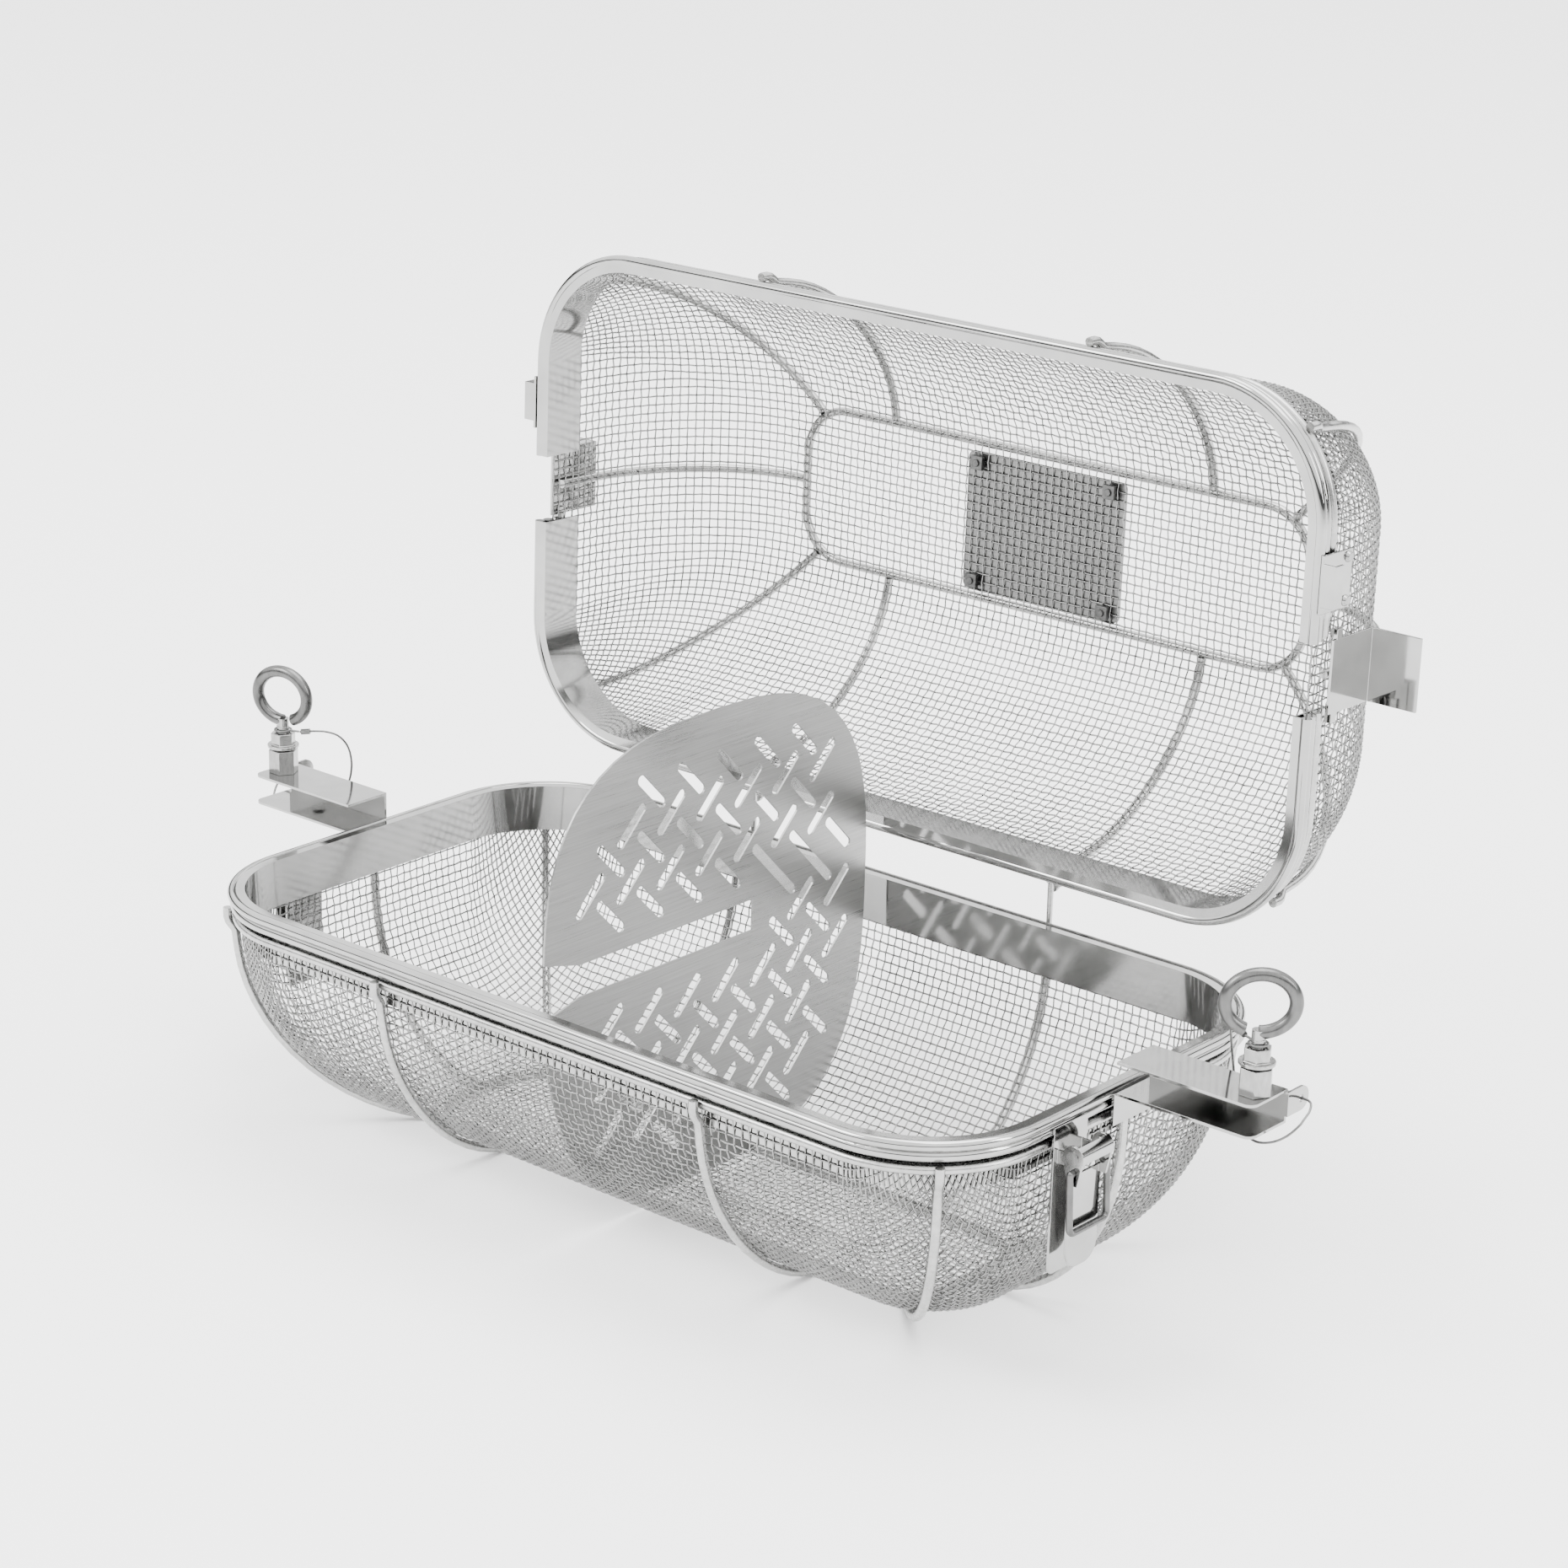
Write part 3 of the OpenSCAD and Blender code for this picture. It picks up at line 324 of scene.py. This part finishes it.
def shell_radius(v):
    span = HALF_W - FLAT_W / 2 - SHELL_INSET
    return SHELL_R - (SHELL_R - FLAT_R) * (side_inset(v) - SHELL_INSET) / span


def sheet_reach(inset, depth):
    """How far each depth lies from the flat's edge, measured along the wall."""
    steps = np.hypot(np.diff(inset), np.diff(depth))
    return np.concatenate([[0], np.cumsum(steps)])


def shell_levels():
    """The wall at each level from the flat up to the rim: its depth, its corner's radius and
    centre, and how far the flat sheet's own corner reaches from that centre."""
    angle = np.linspace(np.pi / 2, 0, WALL_LEVELS)
    depth = np.concatenate([BAND_H + (SHELL_DEPTH - BAND_H) * np.sin(angle) ** (2 / SIDE_POWER),
                            np.linspace(BAND_H - 0.5, 0.5, BAND_LEVELS)])
    side, end, radius = side_inset(depth), end_inset(depth), shell_radius(depth)
    side_sheet = FLAT_W / 2 + sheet_reach(side, depth)
    end_sheet = FLAT_LEN / 2 + sheet_reach(end, depth)
    centre_x, centre_y = HALF_LEN - end - radius, HALF_W - side - radius
    return {"depth": depth, "radius": radius, "centre_x": centre_x, "centre_y": centre_y,
            "corner_x": end_sheet - centre_x, "corner_y": side_sheet - centre_y,
            "half_sheet": (end_sheet[-1], side_sheet[-1])}


def sheet_crossings(half_sheet):
    """The flat sheet's wire crossings, a pitch apart and centred."""
    counts = [int(half / MESH_PITCH) for half in half_sheet]
    return np.meshgrid(*[np.arange(-n, n + 1) * MESH_PITCH for n in counts], indexing="ij")


def at_level(levels, name, level):
    return np.interp(level, np.arange(len(levels["depth"])), levels[name])


def past_outline(levels, level, au, aw):
    """How far crossings lie past the sheet's outline at a level (positive is outside), and
    their shares of the corner's reach along the two walls."""
    dx = np.maximum(au - at_level(levels, "centre_x", level), 0) / at_level(
        levels, "corner_x", level)
    dy = np.maximum(aw - at_level(levels, "centre_y", level), 0) / at_level(
        levels, "corner_y", level)
    return np.hypot(dx, dy) - 1, dx, dy


def woven_surface():
    """Where each crossing of a flat woven sheet comes to lie on the shell: points, and
    which crossings are on it.  The sheet is cut off under the rim's second bead."""
    levels = shell_levels()
    u, w = sheet_crossings(levels["half_sheet"])
    au, aw = np.abs(u), np.abs(w)
    low, high = np.zeros_like(au), np.full_like(au, len(levels["depth"]) - 1.0)
    on_flat = past_outline(levels, low, au, aw)[0] <= 0
    in_sheet = past_outline(levels, high, au, aw)[0] <= 0
    for _ in range(LEVEL_HALVINGS):
        middle = (low + high) / 2
        beyond = past_outline(levels, middle, au, aw)[0] > 0
        low, high = np.where(beyond, middle, low), np.where(beyond, high, middle)
    level = (low + high) / 2
    _, dx, dy = past_outline(levels, level, au, aw)
    cx, cy, r, v = (at_level(levels, name, level)
                    for name in ("centre_x", "centre_y", "radius", "depth"))
    turn = np.arctan2(dy, dx)
    x = np.where(on_flat, au, np.where(au > cx, cx + r * np.cos(turn), au))
    y = np.where(on_flat, aw, np.where(aw > cy, cy + r * np.sin(turn), aw))
    z = np.where(on_flat, SHELL_DEPTH, v)
    points = np.stack([x * np.sign(u), y * np.sign(w), -z], axis=-1)
    return points, (on_flat | in_sheet) & (z >= MESH_TOP)


def woven_lines():
    """Centre lines of the two sets of wires, each passing over and under the other."""
    points, kept = woven_surface()
    tangent_u, tangent_w = np.gradient(points, axis=0), np.gradient(points, axis=1)
    normal = np.cross(tangent_w, tangent_u)
    normal /= np.maximum(np.linalg.norm(normal, axis=-1, keepdims=True), 1e-9)
    inward = normal * np.sign(normal[..., 2:3] + 1e-9)
    rows, cols = np.indices(kept.shape)
    parity = np.where((rows + cols) % 2, 1.0, -1.0)[..., None]
    band = np.clip((-points[..., 2:3] - BAND_H) / EASE_DOWN, 0, 1)
    weave = CRIMP + CRIMP_MORE * band
    middle = points + inward * (MESH_IN + MESH_IN_MORE * band)
    sets = []
    for sign, swap in ((1, False), (-1, True)):
        path = middle + inward * parity * weave * sign
        path, keep = (path.swapaxes(0, 1), kept.T) if swap else (path, kept)
        lines = []
        for line, on in zip(path, keep):
            if on.sum() > 2:
                lines.append([tuple(p) for p in line[on]])
        sets.append(lines)
    return sets


def to_lower(p):
    return Vector((p[0], p[1], p[2] - SPIT_RISE))


def lid_matrix():
    """From a half shell's own frame to the open lid."""
    return (Matrix.Translation((0, HINGE_Y, HINGE_RISE - SPIT_RISE))
            @ Matrix.Rotation(math.radians(-OPEN_ANGLE), 4, "X")
            @ Matrix.Translation((0, -HINGE_Y, CLOSED_GAP - HINGE_RISE))
            @ Matrix.Scale(-1, 4, (0, 0, 1)))


LID = lid_matrix()


def to_lid(p):
    return LID @ Vector(p)


def weave_shells():
    long_way, cross_way = woven_lines()
    for body, half, place in (("lower_basket", "lower", to_lower), ("lid", "lid", to_lid)):
        wire_piece(half + "_weft", [[place(p) for p in line] for line in long_way],
                   MESH_WIRE, 4, "woven_wire", body, [half + "_mesh"])
        wire_piece(half + "_warp", [[place(p) for p in line] for line in cross_way],
                   MESH_WIRE, 4, "woven_wire", body)


# ---------- eye screws and lanyards ----------
EYE_WIRE, EYE_W, EYE_H, EYE_Z0 = 5.5, 33.0, 29.0, 29.0
EYE_TURN = {"right": 40.0, "left": -12.0}
EYE_TRIM = (0.3, 0.1)                  # keeps the smooth ring inside the design's own box
EYE_SWEEP, EYE_STEPS = 335, 80         # the ring is bent up from wire and stays open
SHANK_D, SHANK_LEVELS = 5.4, (4.8, 5.4, 12, 20, 28, EYE_Z0 + EYE_WIRE * 0.7)
THREAD_R, THREAD_D, THREAD_LOW, THREAD_TURNS, TURN_STEPS = 2.72, 0.5, 5.2, 24, 16


def mirror_x(side):
    return 1 if side == "right" else -1


def eye_screw(side, turn):
    """Ring, shank and thread of one eye screw, turned about its own axis."""
    s = mirror_x(side)
    a, b = (EYE_W - EYE_WIRE) / 2 - EYE_TRIM[0], (EYE_H - EYE_WIRE) / 2 - EYE_TRIM[1]
    zc = EYE_Z0 + EYE_WIRE / 2 + b
    c, n = math.cos(math.radians(turn)), math.sin(math.radians(turn))

    def at(x, y, z):
        return (s * (SCREW_X + x * c - y * n), x * n + y * c, z)

    bend = [math.radians(-90 + EYE_SWEEP * k / EYE_STEPS) for k in range(EYE_STEPS + 1)]
    ring = [at(a * math.cos(w), 0, zc + b * math.sin(w)) for w in bend]
    wire_piece("eye_ring_" + side, [ring], EYE_WIRE, 24, "polished_rod",
               "eye_screw_" + side, ["eye_screw_" + side])
    shank = [at(0, 0, z) for z in SHANK_LEVELS]
    wire_piece("screw_shank_" + side, [shank], SHANK_D, 24, "hardware", "eye_screw_" + side)
    winds = [2 * math.pi * k / TURN_STEPS for k in range(TURN_STEPS * THREAD_TURNS)]
    thread = [at(THREAD_R * math.cos(w), THREAD_R * math.sin(w), THREAD_LOW + w / (2 * math.pi))
              for w in winds]
    wire_piece("screw_thread_" + side, [thread], THREAD_D, 4, "hardware", "eye_screw_" + side)


def eye_screws():
    for side, turn in EYE_TURN.items():
        eye_screw(side, turn)


def eased_path(points, steps):
    """A smooth line through the points that stays inside the points' own box."""
    p = [Vector(q) for q in points]
    p = [2 * p[0] - p[1]] + p + [2 * p[-1] - p[-2]]
    line = []
    for i in range(1, len(p) - 2):
        for k in range(steps):
            t = k / steps
            line.append(0.5 * (2 * p[i] + (p[i + 1] - p[i - 1]) * t
                               + (2 * p[i - 1] - 5 * p[i] + 4 * p[i + 1] - p[i + 2]) * t ** 2
                               + (3 * p[i] - p[i - 1] - 3 * p[i + 1] + p[i + 2]) * t ** 3))
    line.append(p[-2])
    for axis in range(3):
        low, high = min(q[axis] for q in p[1:-1]), max(q[axis] for q in p[1:-1])
        for q in line:
            q[axis] = min(max(q[axis], low), high)
    return line


def lanyards():
    for side in ("right", "left"):
        s = mirror_x(side)
        path = eased_path([(s * (SCREW_X + x), y, z) for x, y, z in LANYARD],
                          LANYARD_STEPS)
        piece = wire_piece("lanyard_wire_" + side, [path], LANYARD_D, 8, "lanyard_wire",
                           "lower_basket", ["lanyard_" + side])


# ---------- square nuts inside the lid's mesh ----------
PLATE_NUTS = [(x, y) for x in (-36.75, 36.75) for y in (-27.5, 27.5)]
NUT_W, NUT_H, NUT_IN = 6.4, 2.2, 1.7   # NUT_IN: a nut's base from the shell's outer face
STUD_R, STUD_H = 1.7, 1.6


def plate_nuts():
    """Four small square nuts that hold the blank plate through the mesh."""
    work = bmesh.new()
    for x, y in PLATE_NUTS:
        centre = Matrix.Translation((x, y, NUT_H / 2 + NUT_IN - SHELL_DEPTH))
        bmesh.ops.create_cube(work, size=1.0,
                              matrix=LID @ centre @ Matrix.Diagonal((NUT_W, NUT_W, NUT_H, 1)))
        tip = Matrix.Translation((x, y, NUT_H + NUT_IN - SHELL_DEPTH))
        bmesh.ops.create_cone(work, cap_ends=True, segments=20, radius1=STUD_R,
                              radius2=STUD_R, depth=STUD_H, matrix=LID @ tip)
    bmesh.ops.scale(work, vec=(MM, MM, MM), verts=work.verts)
    bmesh.ops.recalc_face_normals(work, faces=work.faces)
    mesh = bpy.data.meshes.new("plate_nuts")
    work.to_mesh(mesh)
    work.free()
    piece = linked("plate_nuts", mesh)
    edge_round = piece.modifiers.new("edge_round", "BEVEL")
    edge_round.width = NUT_EDGE
    edge_round.segments = 2
    piece = settle(baked(piece, "plate_nuts"), [], "lid", "hardware")
    piece.data.materials[0] = DARK_FASTENER


# ---------- CAD nodes with their finish ----------
SHEET_NODES = ["spit_clamp", "latch_base", "lid_bracket", "catch", "latch_lever"]
NUT_NODES = ["weld_nut", "lock_nut"]
DRAWN = {"lower_mesh", "lid_mesh", "eye_screw_right", "eye_screw_left", "lanyard_right",
         "lanyard_left"}


def carried_over():
    """Every CAD node that isn't drawn afresh above."""
    for node in frame["nodes"]:
        if node in DRAWN:
            continue
        stem = node.rsplit("_", 1)[0]
        if stem in SHEET_NODES or node == "lid_plate":
            finished(node, SHEET_EDGE)
        elif stem in NUT_NODES:
            finished(node, HEX_EDGE)
        elif node == "divider":
            finished(node, DIVIDER_EDGE)
        else:
            finished(node)


# ---------- room, light and camera ----------
FLOOR_REACH, FLOOR_GREY = 6.0, 0.93
WORLD_STRENGTH = 3.6
# Brightness round the room by height: pale floor side, a dark band for the steel to mirror,
# and a bright upper half
WORLD_BANDS = ((0.0, 0.6), (0.02, 0.5), (0.07, 0.06), (0.2, 0.04), (0.29, 0.7), (0.4, 1.0),
               (1.0, 1.0))


def floor_sheet():
    low = CAD_BOX[0][2]
    mesh = bpy.data.meshes.new("floor")
    mesh.from_pydata([(x * FLOOR_REACH, y * FLOOR_REACH, low)
                      for x, y in ((-1, -1), (1, -1), (1, 1), (-1, 1))], [], [(0, 1, 2, 3)])
    floor = linked("floor", mesh)
    paint = bpy.data.materials.new("pale_floor")
    paint.use_nodes = True
    shader = paint.node_tree.nodes["Principled BSDF"]
    shader.inputs["Base Color"].default_value = (FLOOR_GREY, FLOOR_GREY, FLOOR_GREY, 1)
    shader.inputs["Roughness"].default_value = 0.7
    mesh.materials.append(paint)


def soft_world():
    world = bpy.data.worlds.new("soft_room")
    bpy.context.scene.world = world
    world.use_nodes = True
    nodes, links = world.node_tree.nodes, world.node_tree.links
    coord = nodes.new("ShaderNodeTexCoord")
    split = nodes.new("ShaderNodeSeparateXYZ")
    ramp = nodes.new("ShaderNodeValToRGB")
    ramp.color_ramp.interpolation = "EASE"
    for place, grey in WORLD_BANDS[2:]:
        ramp.color_ramp.elements.new(place).color = (grey, grey, grey, 1)
    for element, (place, grey) in zip(ramp.color_ramp.elements, sorted(WORLD_BANDS)):
        element.position, element.color = place, (grey, grey, grey, 1)
    links.new(coord.outputs["Generated"], split.inputs["Vector"])
    links.new(split.outputs["Z"], ramp.inputs["Fac"])
    links.new(ramp.outputs["Color"], nodes["Background"].inputs["Color"])
    nodes["Background"].inputs["Strength"].default_value = WORLD_STRENGTH


def soft_light(name, place, aim, size, power):
    lamp = bpy.data.lights.new(name, "AREA")
    lamp.shape = "RECTANGLE"
    lamp.size, lamp.size_y = size
    lamp.energy = power
    obj = bpy.data.objects.new(name, lamp)
    obj.location = place
    obj.rotation_euler = (Vector(aim) - Vector(place)).to_track_quat("-Z", "Y").to_euler()
    bpy.context.scene.collection.objects.link(obj)


CAMERA_LENS, CAMERA_REACH = 90.18, 1.7201           # millimetres, metres
CAMERA_AIM = (-0.0378, 0.0836, 0.0360)
CAMERA_TURN, CAMERA_LIFT, CAMERA_ROLL = 40.16, 18.83, 1.46


def camera():
    data = bpy.data.cameras.new("camera")
    data.sensor_width = 36.0
    data.lens = CAMERA_LENS
    data.clip_end = 30
    obj = bpy.data.objects.new("camera", data)
    turn, lift, roll = (math.radians(a) for a in (CAMERA_TURN, CAMERA_LIFT, CAMERA_ROLL))
    away = Vector((math.sin(turn) * math.cos(lift), -math.cos(turn) * math.cos(lift),
                   math.sin(lift)))
    right = (-away).cross(Vector((0, 0, 1))).normalized()
    up = right.cross(-away)
    across = math.cos(roll) * right + math.sin(roll) * up
    upright = -math.sin(roll) * right + math.cos(roll) * up
    place = Matrix.Translation(Vector(CAMERA_AIM) + away * CAMERA_REACH)
    obj.matrix_world = place @ Matrix((across, upright, away)).transposed().to_4x4()
    bpy.context.scene.collection.objects.link(obj)
    bpy.context.scene.camera = obj


camera()
lanyards()
weave_shells()
eye_screws()
carried_over()
plate_nuts()
floor_sheet()
soft_world()
soft_light("key_light", (-1.6, -2.2, 2.6), (0, 0, 0), (1.8, 1.2), 100)
soft_light("side_light", (2.6, 0.6, 1.3), (0, 0.1, 0.05), (0.5, 1.6), 30)
soft_light("top_light", (0.1, 0.5, 3.0), (0, 0.05, 0), (2.6, 2.0), 120)
